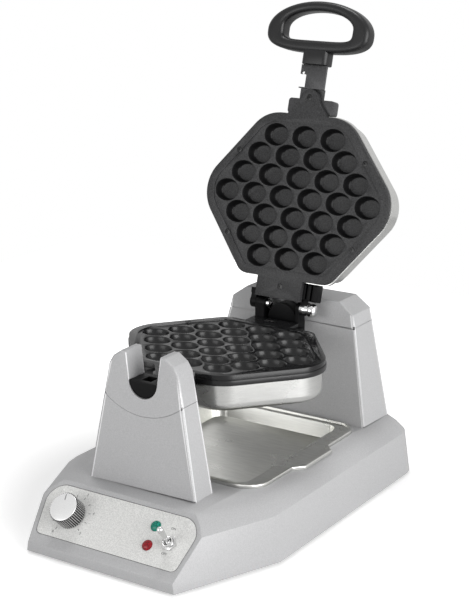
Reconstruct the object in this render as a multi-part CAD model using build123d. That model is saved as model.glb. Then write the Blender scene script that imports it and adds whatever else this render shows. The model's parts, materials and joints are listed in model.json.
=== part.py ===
from build123d import *
import os
from math import asin, atan2, cos, degrees, pi, radians, sin, sqrt, tan

# A countertop egg waffle maker with a round-egg grid that turns over.
# Units are millimetres. +Z is up, +X is to the user's right, and the user stands at -Y.
# The origin is on the table, under the middle of the whole machine with its lid open.
# The grid and the lid are drawn in the grid's own frame: its origin is on the turning axis
# at the middle of the egg pattern, with the lid shut. They are then moved into place.

# Fits and gaps that more than one piece uses
seam = 0.3              # between two fixed pieces that butt together
moving_gap = 0.3        # between two pieces that move past each other
shaft_fit = 0.05        # radial clearance of a shaft that turns in its bearing
screw_fit = 0.1         # radial clearance of a screw or a stud in its hole

# Base housing
base_width = 233.0      # across the straight rear stretch, at the foot
base_length = 354.7
base_front_width = 153.0
taper_length = 98.7     # the front stretch, which narrows towards the controls
shell_height = 51.8
shell_wall = 3.0
foot_stand = 2.0        # how far the rubber feet hold the housing off the table
lip_height = 8.7        # upright strip under the control panel
panel_slope = 44.8      # degrees from level
side_wall_height = 39.4
side_wall_lean = 6.0    # how far the side wall leans in by its top
rear_lean_share = 0.54  # the rear leans and bevels in by this share of what the sides do
lower_bevel_height = 7.0
lower_bevel_run = 8.5
upper_bevel_run = 9.5
rear_corner_radius = 26.0
rear_corner_shrink = 0.75   # lost from that radius for each millimetre that the side comes in
grid_centre_y = 4.5     # the middle of the grid, from the origin
front_apron = 61.1      # from the front tower's face to the front of the housing
axis_above_top = 94.6   # the turning axis above the flat top of the housing

# Towers
tower_wall = 3.0
tower_edge_radius = 1.6
front_tower_foot = 55.2         # half width at the foot
front_tower_shoulder = 35.5
front_tower_depth = 27.6        # at the foot
front_tower_lean = 5.2          # how far that face leans back by the shoulder
front_tower_overlap = 1.5       # how far its rear face stands behind the plates' tongues
shoulder_above_axis = 11.3
notch_flare = 2.8               # how much wider the open notch is at its top, each side
journal_radius = 14.2
notch_clearance = 0.6           # round the journal, which also drops in from above
horn_top = 24.3
front_seam_drop = 30.0          # lowest point of the curved seam, below the axis
front_seam_radius = 63.0
rear_tower_foot = 89.0
rear_tower_shoulder = 67.0
rear_tower_reach = 9.6          # how far its foot reaches under the hub
rear_tower_lean = 13.1
rear_tower_depth = 48.6         # at the foot
rear_shoulder_above_axis = 9.0
rear_top_half_width = 51.5
rear_tower_top = 20.0
rear_seam_drop = 3.0

# Egg grid
egg_rows = (3, 4, 5, 6, 5, 4, 3)
egg_pitch = 30.7
egg_row_pitch = 19.3
egg_width = 26.4
egg_length = 21.4
egg_depth = 11.0
plate_gap = 0.6                 # between the two plates when shut
batter_recess = 1.0             # the web between the eggs lies this far below the rim
plate_thickness = 5.0
plate_floor = 2.6               # metal left under an egg
egg_wall = 1.2                  # metal left round an egg's mouth
side_rim = 19.05                # from the widest row of eggs to where the slanting sides would meet
front_rim = 10.4                # from the eggs to the plate's front edge
rear_rim = 7.9
front_edge_spread = 0.6         # the front edge's half length, past the front row of eggs
rear_edge_spread = 3.7
plate_corner_radius = 35.0
plate_rear_radius = 14.0
frame_height = 4.6
frame_proud = 0.8
casing_inset = 3.0
casing_wall = 1.0
casing_depth = 35.0             # outside of the casing's floor, from the parting plane
casing_edge_radius = 8.0
block_inset = 11.0              # the cast block under the eggs, inside the plate's edge
insulation_thickness = 11.5
element_radius = 3.2
element_row_pitch = 24.0

# Front and rear ends of the two halves
tongue_half_width = 10.0
tongue_length = 24.5
tongue_root_half_width = 22.0
tongue_flare_length = 14.0
arm_half_width = 24.5
arm_height = 9.5
tab_left = 27.5
tab_right = 21.5
tab_length = 19.0
journal_length = 21.0

# Lid hinge, and how far the lid stands open at rest
hinge_behind_plate = 25.5
hinge_z = 11.3
lid_open_angle = 105.5
pin_radius = 3.0
knuckle_radius = 6.0
hub_radius = 15.0
hub_behind_plate = 21.5
hub_length = 13.5
shaft_radius = 9.0
bush_radius = 12.5
bearing_outer = 17.0
bearing_length = 14.6

# Lid handle
handle_radius = 13.4
handle_arm_length = 22.5
collar_length = 13.0
grip_half_width = 56.0
grip_inner_half_width = 36.0
grip_overlap = 1.5              # how far the collar reaches into the grip's bar
grip_end_radius = 19.5
grip_bar = 11.0
grip_opening = 27.9
grip_arch = 9.6
grip_thickness = 18.0
grip_lift = 5.0                 # the grip's middle above the parting plane
grip_edge_radius = 4.5

# Drip tray
tray_half_width = 86.0
tray_front = 83.0
tray_rear = 99.0
tray_corner_radius = 22.0
tray_side_flange = 18.0
tray_end_flange = 8.0
pan_depth = 14.0
pan_corner_radius = 12.0
tray_sheet = 0.9
bead_width = 2.6
bead_height = 3.0
scoop_reach = 8.5               # how far the finger scoop stands out of the right rim
scoop_front = -24.0
scoop_rear = 40.0
scoop_ramp = 9.0
well_clearance = 2.0

# Control panel: places are (across, up the slope) from the middle of its lower edge
control_plate_inset = 4.0
control_plate_low = 9.0
control_plate_sheet = 1.0
control_low_corner = 6.0
control_high_corner = 14.0
knob_place = (-45.4, 32.7)
knob_radius = 13.4
knob_height = 14.5
green_lamp_place = (37.4, 42.8)
red_lamp_place = (37.4, 25.3)
lamp_radius = 4.8
lamp_dome = 2.2
switch_place = (57.0, 31.6)
switch_bush_radius = 5.8
switch_bush_height = 6.5
lever_length = 21.5
lever_tilt = 9.0                # degrees towards ON, up the slope

inner_start = 5.0               # how far the hollow's shape runs on below the housing

# Values worked out from the ones above
shell_bottom = foot_stand
shell_top = foot_stand + shell_height
axis_height = shell_top + axis_above_top
eggs_half_length = (len(egg_rows) - 1) / 2 * egg_row_pitch + egg_length / 2
end_row_half = (egg_rows[0] - 1) / 2 * egg_pitch + egg_width / 2
side_corner_reach = (max(egg_rows) - 1) / 2 * egg_pitch + egg_width / 2 + side_rim
plate_front = eggs_half_length + front_rim
plate_rear = eggs_half_length + rear_rim
plate_front_half = end_row_half + front_edge_spread
plate_rear_half = end_row_half + rear_edge_spread
tongue_root = plate_front + tongue_flare_length
tongue_end = plate_front + tongue_length
journal_front = tongue_end + journal_length
tab_end = plate_rear + tab_length
hinge_y = plate_rear + hinge_behind_plate
hub_front = plate_rear + hub_behind_plate
hub_rear = hub_front + hub_length
handle_arm_end = tongue_end + handle_arm_length
collar_end = handle_arm_end + collar_length
grip_bar_front = collar_end - grip_overlap
grip_bar_back = grip_bar_front + grip_bar
grip_centre = grip_bar_front + grip_end_radius
grip_arch_inner = grip_bar_back + grip_opening
grip_arch_outer = grip_arch_inner + grip_arch
front_tower_back = tongue_end - front_tower_overlap
front_tower_face = front_tower_back + front_tower_depth
rear_tower_face = hub_rear - rear_tower_reach
rear_tower_back = rear_tower_face + rear_tower_depth
base_front_y = grid_centre_y - front_tower_face - front_apron
base_rear_y = base_front_y + base_length
lip_top = shell_bottom + lip_height
taper_angle = atan2((base_width - base_front_width) / 2, taper_length)
slope = radians(panel_slope)
panel = Plane(origin=(0, base_front_y, lip_top), x_dir=(1, 0, 0), z_dir=(0, -sin(slope), cos(slope)))
half_gap = plate_gap / 2
notch_radius = journal_radius + notch_clearance
block_bottom = egg_depth + plate_floor
frame_bottom = plate_thickness + frame_height
tray_floor_top = shell_top - pan_depth
pan_half_width = tray_half_width - tray_side_flange
pan_front = tray_front - tray_end_flange
pan_rear = tray_rear - tray_end_flange
notch_mouth = notch_radius + notch_flare

nodes = {}


def add(name, shape):
    nodes[name] = shape


def in_grid(shape):
    """Moves a shape from the grid's own frame to its place in the machine."""
    return Pos(0, grid_centre_y, axis_height) * shape


def open_lid(shape):
    """Swings a shape of the shut lid open about the hinge, and moves it into place."""
    hinge = Pos(0, hinge_y, hinge_z)
    return in_grid(hinge * Rot(-lid_open_angle, 0, 0) * Pos(0, -hinge_y, -hinge_z) * shape)


def upside_down(shape):
    """Turns a shape of the lower half over, so that it serves in the upper half."""
    return mirror(shape, Plane.XY)


def rod(radius, start, end, axis="Z", at=(0, 0)):
    """A round rod along an axis from start to end, at the other two coordinates."""
    body = Pos(0, 0, (start + end) / 2) * Cylinder(radius, abs(end - start))
    if axis == "X":
        return Pos(0, at[0], at[1]) * Rot(0, 90, 0) * body
    if axis == "Y":
        return Pos(at[0], 0, at[1]) * Rot(-90, 0, 0) * body
    return Pos(at[0], at[1], 0) * body


def block(x0, x1, y0, y1, z0, z1):
    """A box between two corners."""
    middle = Pos((x0 + x1) / 2, (y0 + y1) / 2, (z0 + z1) / 2)
    return middle * Box(x1 - x0, y1 - y0, z1 - z0)


def corners_near(face, points, reach):
    """The vertices of a flat face that lie within reach of any of some points."""
    found = []
    for vertex in face.vertices():
        for x, y in points:
            if sqrt((vertex.X - x) ** 2 + (vertex.Y - y) ** 2) < reach:
                found.append(vertex)
    return found


# Base housing

def base_outline(side_inset, front_inset, rear_inset, corner_radius):
    """The plan of the housing, drawn in by some distances from its foot."""
    front_half = base_front_width / 2 - side_inset / cos(taper_angle) + front_inset * tan(taper_angle)
    rear_half = base_width / 2 - side_inset
    bend_y = base_front_y + taper_length + side_inset * tan(taper_angle / 2)
    front_y, rear_y = base_front_y + front_inset, base_rear_y - rear_inset
    right = [(front_half, front_y), (rear_half, bend_y), (rear_half, rear_y)]
    left = [(-x, y) for x, y in reversed(right)]
    face = make_face(Polyline(*right, *left, close=True))
    rear = [(rear_half, rear_y), (-rear_half, rear_y)]
    return fillet(corners_near(face, rear, 1), corner_radius)


def base_solid(wall):
    """The housing's outer shape, or with a wall the hollow inside it."""
    below = inner_start if wall else 0.0
    levels = [
        (-below, 0.0),
        (side_wall_height, side_wall_lean),
        (side_wall_height + lower_bevel_height, side_wall_lean + lower_bevel_run),
        (shell_height, side_wall_lean + lower_bevel_run + upper_bevel_run),
    ]
    rings = []
    for step, (height, inset) in enumerate(levels):
        drop = wall * step / (len(levels) - 1)
        rear_inset = wall + rear_lean_share * inset
        corner = rear_corner_radius - wall - rear_corner_shrink * inset
        outline = base_outline(inset + wall, wall, rear_inset, corner)
        rings.append(Pos(0, 0, shell_bottom + height - drop) * outline)
    body = loft(rings, ruled=True)
    reach = 4 * shell_height
    front_cut = panel * Pos(0, 0, reach / 2 - wall) * Box(2 * base_width, 4 * reach, reach)
    return body - front_cut


well_side = pan_half_width + tray_sheet + well_clearance
well_front = -(pan_front + tray_sheet + well_clearance)
well_rear = pan_rear + tray_sheet + well_clearance
well_floor = tray_floor_top - tray_sheet - well_clearance


def well_box(grow, top):
    """The recess that the drip tray hangs in, grown by a wall."""
    y0, y1 = grid_centre_y + well_front - grow, grid_centre_y + well_rear + grow
    body = block(-well_side - grow, well_side + grow, y0, y1, well_floor - grow, top)
    return fillet(body.edges().filter_by(Axis.Z), pan_corner_radius + grow)


def panel_point(place, height=0.0):
    """A location on the control panel, with its Z axis square to the panel."""
    return panel.location * Pos(place[0], place[1], height)


def panel_half(along, lean=None):
    """Half the panel's width at a distance up its slope."""
    if lean is None:
        lean = side_wall_lean * (lip_height + along * sin(slope)) / side_wall_height
    return base_front_width / 2 - lean / cos(taper_angle) + along * cos(slope) * tan(taper_angle)


def control_outline(inset, low):
    """The plan of the control panel's face: the housing's section along the slope."""
    points = [(panel_half(low) - inset, low)]
    levels = [
        (side_wall_height, side_wall_lean),
        (side_wall_height + lower_bevel_height, side_wall_lean + lower_bevel_run),
        (shell_height, side_wall_lean + lower_bevel_run + upper_bevel_run),
    ]
    for height, lean in levels:
        along = (height - lip_height) / sin(slope)
        points.append((panel_half(along, lean) - inset, along))
    points[-1] = (points[-1][0], points[-1][1] - inset)
    left = [(-x, y) for x, y in reversed(points)]
    face = make_face(Polyline(*points, *left, close=True))
    low_corners = [points[0], left[-1]]
    high_corners = points[1:] + left[:-1]
    face = fillet(corners_near(face, high_corners, 1), control_high_corner)
    return fillet(corners_near(face, low_corners, 1), control_low_corner)


front_half_width, rear_half_width = base_front_width / 2, base_width / 2
foot_inset = ((14.5, 28.0), (24.5, 30.0))     # from the side and the end: front pair, rear pair
post_inset = ((16.5, 58.0), (20.5, 78.7))
feet_from_corner = ((front_half_width - foot_inset[0][0], base_front_y + foot_inset[0][1]),
                    (rear_half_width - foot_inset[1][0], base_rear_y - foot_inset[1][1]))
posts_from_corner = ((front_half_width - post_inset[0][0], base_front_y + post_inset[0][1]),
                     (rear_half_width - post_inset[1][0], base_rear_y - post_inset[1][1]))
feet_places = [(side * x, y) for x, y in feet_from_corner for side in (-1, 1)]
post_places = [(side * x, y) for x, y in posts_from_corner for side in (-1, 1)]
cover_sheet = 1.5
cover_bottom = shell_bottom + 1.2
cover_top = cover_bottom + cover_sheet
post_radius = 5.0
foot_radius = 9.0
foot_stem_radius = 3.0
vent_slot = (64.0, 4.0)
vent_pitch = 11.0
vent_centre_y = 30.0
cover_screw_radius = 1.6
gland_place = (58.0, 24.0)      # across, and above the table
gland_radius = 8.0
gland_flange_radius = 11.0
gland_flange = 2.9
gland_inner_length = 8.0
cord_bore = 4.2
tower_screw_radius = 2.0
gland_rise = gland_place[1] + gland_flange_radius + seam - shell_bottom
gland_seat = base_rear_y - rear_lean_share * side_wall_lean * gland_rise / side_wall_height

outer = base_solid(0)
hollow = base_solid(shell_wall) - well_box(shell_wall, shell_top)
base_shell = outer - hollow - well_box(0, shell_top + 1)
for place in post_places:
    base_shell += rod(post_radius, cover_top, shell_top, at=place) & outer
    base_shell -= rod(cover_screw_radius + screw_fit, cover_top, cover_top + 12, at=place)
panel_recess = panel * Pos(0, 0, -control_plate_sheet) * extrude(
    control_outline(control_plate_inset, control_plate_low), 2 * control_plate_sheet)
base_shell -= panel_recess
panel_holes = [
    (knob_place, 5.2), (green_lamp_place, lamp_radius - 0.6), (red_lamp_place, lamp_radius - 0.6),
    (switch_place, switch_bush_radius - 1.2),
]
for place, radius in panel_holes:
    base_shell -= panel_point(place) * Cylinder(radius, 4 * shell_wall)
base_shell -= rod(gland_radius, gland_seat - 3 * shell_wall, base_rear_y + 1, "Y", gland_place)
base_shell -= rod(gland_flange_radius + seam, gland_seat, base_rear_y + 1, "Y", gland_place)

front_screw_y = grid_centre_y - (front_tower_face + front_tower_back) / 2
rear_screw_y = grid_centre_y + (rear_tower_face + rear_tower_back) / 2
front_screws = [(side * (front_tower_foot - 25.2), front_screw_y) for side in (-1, 1)]
rear_screws = [(side * (rear_tower_foot - 27.0), rear_screw_y) for side in (-1, 1)]
for place in front_screws + rear_screws:
    base_shell -= rod(tower_screw_radius + screw_fit, shell_top - 2 * shell_wall, shell_top + 1, at=place)
add("base_shell", base_shell)

cover_lean = side_wall_lean * (cover_top - shell_bottom + inner_start) / (side_wall_height + inner_start)
cover_inset = shell_wall + cover_lean + seam
cover = base_outline(cover_inset, shell_wall + seam, cover_inset, rear_corner_radius - shell_wall)
bottom_cover = Pos(0, 0, cover_bottom) * extrude(cover, cover_sheet)
for row in range(-3, 4):
    slot = Pos(0, vent_centre_y + row * vent_pitch, cover_bottom) * SlotOverall(*vent_slot)
    bottom_cover -= extrude(slot, 2 * cover_sheet)
for place in feet_places:
    bottom_cover -= rod(foot_stem_radius + 2 * screw_fit, cover_bottom - 1, cover_top + 1, at=place)
for place in post_places:
    bottom_cover -= rod(cover_screw_radius + screw_fit, cover_bottom - 1, cover_top + 1, at=place)
add("bottom_cover", bottom_cover)

feet = Part()
for place in feet_places:
    foot = rod(foot_radius, 0, cover_bottom, at=place)
    foot = chamfer(foot.edges().group_by(Axis.Z)[0], 0.8)
    foot += rod(foot_stem_radius, cover_bottom, cover_top, at=place)
    foot += rod(foot_stem_radius + 1.6, cover_top, cover_top + 2.0, at=place)
    feet += foot
add("rubber_feet", feet)

cover_screws = Part()
for place in post_places:
    head = rod(3.4, cover_bottom - 1.0, cover_bottom, at=place)
    cover_screws += head + rod(cover_screw_radius, cover_bottom, cover_top + 9, at=place)
add("cover_screws", cover_screws)


# Front and rear towers

def tower_solid(profile, face_foot, lean, back, shoulder, crown, wall):
    """A tower from its front profile and its leaning face, or the hollow inside it."""
    front = make_face(Polyline(*profile, close=True))
    if wall:
        front = offset(front, -wall, kind=Kind.INTERSECTION)
    across = Plane.XZ.offset(-2 * base_width) * front
    body = extrude(across, 4 * base_width)
    rise = shoulder + axis_above_top
    over = 2 * crown + axis_above_top
    side = -1 if face_foot < 0 else 1
    face_top = face_foot + lean * over / rise
    inward = -side if abs(back) < abs(face_foot) else side
    section = make_face(Polyline(
        (face_foot + inward * wall, -axis_above_top), (face_top + inward * wall, over - axis_above_top),
        (back - inward * wall, over - axis_above_top), (back - inward * wall, -axis_above_top), close=True))
    slab = extrude(Plane.YZ.offset(-2 * base_width) * section, 4 * base_width)
    return body & slab


def tower_profile(foot, shoulder_half, shoulder, crown_points):
    """The outline of a tower seen from the front, in the grid's own frame."""
    right = [(foot, -axis_above_top), (shoulder_half, shoulder)] + crown_points
    return right + [(-x, z) for x, z in reversed(right)]


front_crown = [(31.1, 18.2), (22.2, horn_top)]
front_points = tower_profile(front_tower_foot, front_tower_shoulder, shoulder_above_axis, front_crown)
front_body = tower_solid(
    front_points, -front_tower_face, front_tower_lean, -front_tower_back, shoulder_above_axis, horn_top, 0)
front_body = fillet(front_body.edges().filter_by(Axis.Z, reverse=True).filter_by(
    lambda e: e.center().Z > -axis_above_top + 1), tower_edge_radius)


def notch(grow):
    """The open notch that the journals turn in, grown by a wall."""
    mouth_top = horn_top + 10
    spread = (notch_mouth - notch_radius) * mouth_top / horn_top
    right = (notch_radius + grow + spread, mouth_top)
    low = notch_radius + grow
    shape = make_face(Polyline(right, (-right[0], mouth_top), (-low, 0), (low, 0), close=True))
    shape += Circle(low)
    return extrude(Plane.XZ.offset(front_tower_back / 2) * shape, front_tower_face)


front_hollow = tower_solid(
    front_points, -front_tower_face, front_tower_lean, -front_tower_back, shoulder_above_axis, horn_top,
    tower_wall)
front_hollow -= notch(tower_wall)
tower_floor_top = -axis_above_top + tower_wall
front_floor = block(-front_tower_foot, front_tower_foot, -front_tower_face, -front_tower_back,
                    -axis_above_top, tower_floor_top)
front_shell = front_body - (front_hollow - front_floor) - notch(0)
seam_centre = front_seam_radius - front_seam_drop
seam_start, seam_end = -front_tower_face - 10, -front_tower_back + 10
inside_seam = rod(front_seam_radius, seam_start, seam_end, "Y", (0, seam_centre))
outside_seam = rod(front_seam_radius + seam, seam_start, seam_end, "Y", (0, seam_centre))
front_cap = front_shell & inside_seam
front_tower = front_shell - outside_seam
for x, y in front_screws:
    screw_at = (x, y - grid_centre_y)
    front_tower -= rod(tower_screw_radius, -axis_above_top - 1, tower_floor_top + 1, at=screw_at)
add("front_tower", in_grid(front_tower))
add("front_tower_cap", in_grid(front_cap))

rear_crown = [(rear_top_half_width, rear_tower_top)]
rear_points = tower_profile(rear_tower_foot, rear_tower_shoulder, rear_shoulder_above_axis, rear_crown)
rear_body = tower_solid(
    rear_points, rear_tower_face, rear_tower_lean, rear_tower_back, rear_shoulder_above_axis, rear_tower_top,
    0)
rear_body = fillet(rear_body.edges().filter_by(
    lambda e: e.center().Z > -axis_above_top + 1), tower_edge_radius)
rear_hollow = tower_solid(
    rear_points, rear_tower_face, rear_tower_lean, rear_tower_back, rear_shoulder_above_axis, rear_tower_top,
    tower_wall)
rear_floor = block(-rear_tower_foot, rear_tower_foot, rear_tower_face, rear_tower_back,
                   -axis_above_top, tower_floor_top)
shaft_room = rod(shaft_radius + 2.0, rear_tower_face, rear_tower_back - 2 * tower_wall, "Y")
rear_shell = rear_body - (rear_hollow - rear_floor) - shaft_room
above_seam = block(-base_width, base_width, 0, base_width, 0, 2 * rear_tower_top)
rear_cap = rear_shell & Pos(0, 0, seam - rear_seam_drop) * above_seam
rear_tower = rear_shell - Pos(0, 0, -rear_seam_drop) * above_seam
rear_hollow_room = rear_hollow - rear_floor
for x, y in rear_screws:
    screw_at = (x, y - grid_centre_y)
    rear_tower -= rod(tower_screw_radius, -axis_above_top - 1, tower_floor_top + 1, at=screw_at)
add("rear_tower", in_grid(rear_tower))
add("rear_tower_cap", in_grid(rear_cap))


# The bearing in the rear tower

face_rise = rear_tower_lean * (axis_above_top + bush_radius) / (axis_above_top + rear_shoulder_above_axis)
bearing_front = rear_tower_face + face_rise + tower_wall + seam
bearing_rear = bearing_front + bearing_length
bearing = rod(bush_radius, bearing_front, bearing_rear, "Y")
bearing -= rod(shaft_radius + shaft_fit, bearing_front - 1, bearing_rear + 1, "Y")
add("rear_bearing", in_grid(bearing))

yoke_top = bearing_outer + 1.0
bearing_block = block(-yoke_top, yoke_top, bearing_front - 8, bearing_rear - 1.5,
                      -bearing_outer - 16, yoke_top - 4)
bearing_block = bearing_block & rear_hollow_room
bearing_block -= rod(bush_radius + seam / 3, rear_tower_face, rear_tower_back, "Y")
add("bearing_block", in_grid(bearing_block))

collar_start = bearing_rear + seam
collar_stop = collar_start + 3.0
shaft_collar = rod(shaft_radius + 4.0, collar_start, collar_stop, "Y")
shaft_collar -= rod(shaft_radius - 1.0, collar_start - 1, collar_stop + 1, "Y")
add("shaft_collar", in_grid(shaft_collar))


# The egg plates

def plate_outline(inset=0.0):
    """The six-sided plan of a plate, with rounded corners, drawn in by an inset."""
    right = [(plate_front_half, -plate_front), (side_corner_reach, -0.6), (plate_rear_half, plate_rear)]
    left = [(-x, y) for x, y in reversed(right)]
    face = make_face(Polyline(*right, *left, close=True))
    front_and_sides = right[:2] + left[1:]
    face = fillet(corners_near(face, front_and_sides, 1), plate_corner_radius)
    face = fillet(corners_near(face, [right[2], left[0]], 1), plate_rear_radius)
    return offset(face, -inset) if inset else face


def egg_places():
    """The middle of each egg, in rows from the front."""
    middle = (len(egg_rows) - 1) / 2
    places = []
    for row, count in enumerate(egg_rows):
        for column in range(count):
            places.append(((column - (count - 1) / 2) * egg_pitch, (row - middle) * egg_row_pitch))
    return places


def egg_boss(extra=0.0):
    """The plan of one egg with the metal round it, and a margin outside that."""
    return Ellipse(egg_width / 2 + egg_wall + extra, egg_length / 2 + egg_wall + extra)


def egg_cut():
    """One egg hollow: a steep wall that rounds into a flatter bottom."""
    rings = [(0.0, 1.0), (0.45, 0.93), (0.8, 0.76), (1.0, 0.42)]
    sections = []
    for depth, share in rings:
        ring = Ellipse(share * egg_width / 2, share * egg_length / 2)
        sections.append(Pos(0, 0, -half_gap - batter_recess - depth * (egg_depth - batter_recess)) * ring)
    return loft(sections, ruled=True)


plate_screw_x = (egg_rows[1] - 1) / 2 * egg_pitch + egg_width / 2 + 9.25
plate_screw_y = 2 * egg_row_pitch + 1.4
plate_screw_places = [(side * plate_screw_x, end * plate_screw_y) for side in (-1, 1) for end in (-1, 1)]
tab_screw_place = (-1.5, plate_rear + 7.5)
tongue_screw_place = (0.0, -tongue_end + 7.5)
plate_screw_radius = 1.5
plate_screw_head = 2.6


def plate(tab_reach):
    """The lower plate, with its tongue at the front and its tab at the rear."""
    slab = extrude(plate_outline(), -plate_thickness)
    tip = -tongue_end + tongue_half_width
    tongue = make_face(Polyline(
        (tongue_half_width, tip), (tongue_half_width, -tongue_root),
        (tongue_root_half_width, -plate_front + 1), (-tongue_root_half_width, -plate_front + 1),
        (-tongue_half_width, -tongue_root), (-tongue_half_width, tip), close=True))
    tongue += Pos(0, tip) * Circle(tongue_half_width)
    slab += extrude(tongue, -plate_thickness)
    slab += block(-tab_left, tab_right, plate_rear - 1, tab_reach, -plate_thickness, 0)
    slab += extrude(plate_outline(block_inset), -block_bottom)
    boss = extrude(egg_boss(), -block_bottom)
    slab += [Pos(x, y) * boss for x, y in egg_places()]
    slab -= block(-150, 150, -150, 150, -half_gap, 1)
    batter_field = plate_outline(block_inset - 3.0)
    slab -= Pos(0, 0, -half_gap - batter_recess) * extrude(batter_field, 2 * batter_recess)
    cut = egg_cut()
    slab -= [Pos(x, y, 0) * cut for x, y in egg_places()]
    for x, y in plate_screw_places + [tab_screw_place, tongue_screw_place]:
        slab -= rod(plate_screw_radius + screw_fit, -block_bottom - 1, 1, at=(x, y))
        slab -= rod(plate_screw_head + screw_fit, -half_gap - 1.2, 1, at=(x, y))
    return slab


lower_plate = plate(tab_end - 3.0)
upper_plate = upside_down(plate(tab_end))
add("lower_plate", in_grid(lower_plate))
add("upper_plate", open_lid(upper_plate))

frame_plan = plate_outline(-frame_proud) - plate_outline(block_inset - 2.0)
frame_plan -= [Pos(x, y) * egg_boss(seam) for x, y in egg_places()]
frame = Pos(0, 0, -frame_bottom) * extrude(frame_plan, frame_height)
for x, y in plate_screw_places:
    frame -= rod(plate_screw_radius + screw_fit, -frame_bottom - 1, 0, at=(x, y))
add("lower_frame", in_grid(frame))
add("upper_frame", open_lid(upside_down(frame)))


def casing_solid(inset, floor, edge_radius):
    """The stainless pan round a half of the grid, or the hollow inside it."""
    body = Pos(0, 0, -floor) * extrude(plate_outline(casing_inset + inset), floor - frame_bottom)
    return fillet(body.edges().group_by(Axis.Z)[0], edge_radius)


casing = casing_solid(0, casing_depth, casing_edge_radius)
casing -= casing_solid(casing_wall, casing_depth - casing_wall, casing_edge_radius - casing_wall)
casing -= block(-150, 150, -150, 150, -frame_bottom - seam / 3, 0)
add("lower_casing", in_grid(casing))
add("upper_casing", open_lid(upside_down(casing)))

pad_floor = casing_depth - casing_wall
pad_plan = plate_outline(casing_inset + casing_wall + 8.0)
insulation = Pos(0, 0, -pad_floor) * extrude(pad_plan, insulation_thickness)
add("lower_insulation", in_grid(insulation))
add("upper_insulation", open_lid(upside_down(insulation)))

element_z = -(block_bottom + element_radius + seam / 3)
element_rows = [row * element_row_pitch for row in (-2, -1, 0, 1, 2)]
element_halves = [side_corner_reach - inset for inset in (67.0, 47.0, 37.0, 47.0, 67.0)]
element_path_points = [(-element_halves[0], element_rows[0] - 0.5, element_z)]
for row, (y, half) in enumerate(zip(element_rows, element_halves)):
    across = 1 if row % 2 == 0 else -1
    if row:
        element_path_points.append((-across * half, y, element_z))
    element_path_points.append((across * half, y, element_z))
element_path = FilletPolyline(*element_path_points, radius=9.0)
start = element_path @ 0
element = sweep(Plane(origin=start, z_dir=element_path % 0) * Circle(element_radius), element_path)
add("lower_element", in_grid(element))
add("upper_element", open_lid(upside_down(element)))


def plate_screws(tab):
    """The flush screws of a plate, with the ones in its tongue and tab."""
    screws = Part()
    for x, y in plate_screw_places:
        screws += rod(plate_screw_radius, -frame_bottom + 0.5, -half_gap - 1.2, at=(x, y))
        screws += rod(plate_screw_head, -half_gap - 1.2, -half_gap - 0.3, at=(x, y))
    for x, y in (tab, tongue_screw_place):
        screws += rod(plate_screw_radius, -plate_thickness - 5.0, -half_gap - 1.2, at=(x, y))
        screws += rod(plate_screw_head, -half_gap - 1.2, -half_gap - 0.3, at=(x, y))
    return screws


add("lower_plate_screws", in_grid(plate_screws(tab_screw_place)))
add("upper_plate_screws", open_lid(upside_down(plate_screws(tab_screw_place))))


# Front journals: the lower one is fixed under the lower plate's tongue, the upper is the lid's handle arm

def half_rod(radius, y0, y1, top):
    """The lower half of a rod along Y, cut off level at a height."""
    return rod(radius, y0, y1, "Y") & block(-radius, radius, min(y0, y1), max(y0, y1), -radius, top)


arm_top = -plate_thickness
journal_back = -tongue_end - seam
front_arm = block(-arm_half_width, arm_half_width, -tongue_root - 1.5, -plate_front - frame_proud - seam,
                  arm_top - arm_height, arm_top)
front_arm = fillet(front_arm.edges().filter_by(Axis.Z), 3.0)
front_arm += half_rod(journal_radius, journal_back, -tongue_root + 3.0, arm_top)
front_arm -= rod(plate_screw_radius + screw_fit, -20, 0, at=tongue_screw_place)

lower_journal = front_arm + half_rod(journal_radius, -journal_front, journal_back, -half_gap)
lower_journal = lower_journal - block(-5.0, 5.0, -journal_front + 4.5, journal_back - 5.0, -6.0, 1)
add("lower_journal", in_grid(lower_journal))

handle_arm = front_arm + half_rod(handle_radius, -handle_arm_end, journal_back, -half_gap)
handle_arm -= block(-20, -7.0, journal_back - 13.2, journal_back - 1.0, -20, 1)
handle_arm -= rod(2.0, -20, 1, at=(-11.0, journal_back - 14.6))
bolt_radius = 2.6
bolt_z = -(plate_thickness + bolt_radius + seam)
bolt_end = journal_back + 5.0
handle_arm -= rod(bolt_radius + screw_fit, -handle_arm_end - 1, bolt_end, "Y", (1.0, bolt_z))
add("handle_arm", open_lid(upside_down(handle_arm)))


# The lid's handle

def ring_outline(half, centre, low, arch):
    """A D-shaped outline: a straight bar in front, round ends, and an arch away from the grid."""
    turn = centre - low
    edge = half - turn
    arch_height = arch - centre
    outline = [
        Line((-edge, -low), (edge, -low)),
        TangentArc((edge, -low), (half, -centre), tangent=(1, 0)),
        EllipticalCenterArc((0, -centre), half, arch_height, start_angle=180, arc_size=180),
        TangentArc((-edge, -low), (-half, -centre), tangent=(-1, 0)),
    ]
    return make_face(outline)


grip_face = ring_outline(grip_half_width, grip_centre, grip_bar_front, grip_arch_outer)
grip_face -= ring_outline(grip_inner_half_width, grip_centre + 3.5, grip_bar_back, grip_arch_inner)
grip = Pos(0, 0, grip_lift - grip_thickness / 2) * extrude(grip_face, grip_thickness)
grip = fillet(grip.edges().filter_by(Axis.Z, reverse=True), grip_edge_radius)
collar = block(-14.0, 14.0, -collar_end, -handle_arm_end - seam, grip_lift - 9.0, grip_lift + 9.0)
collar = chamfer(collar.edges().filter_by(Axis.Y), 4.0)
grip += collar
grip -= rod(bolt_radius + screw_fit, -grip_bar_back - 1, -handle_arm_end, "Y", (1.0, -bolt_z))
add("handle_grip", open_lid(grip))

handle_bolt = rod(bolt_radius, -grip_bar_back + 2.0, bolt_end - 2.0, "Y", (1.0, -bolt_z))
add("handle_bolt", open_lid(handle_bolt))


# Rear hub, shaft and hinge

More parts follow.
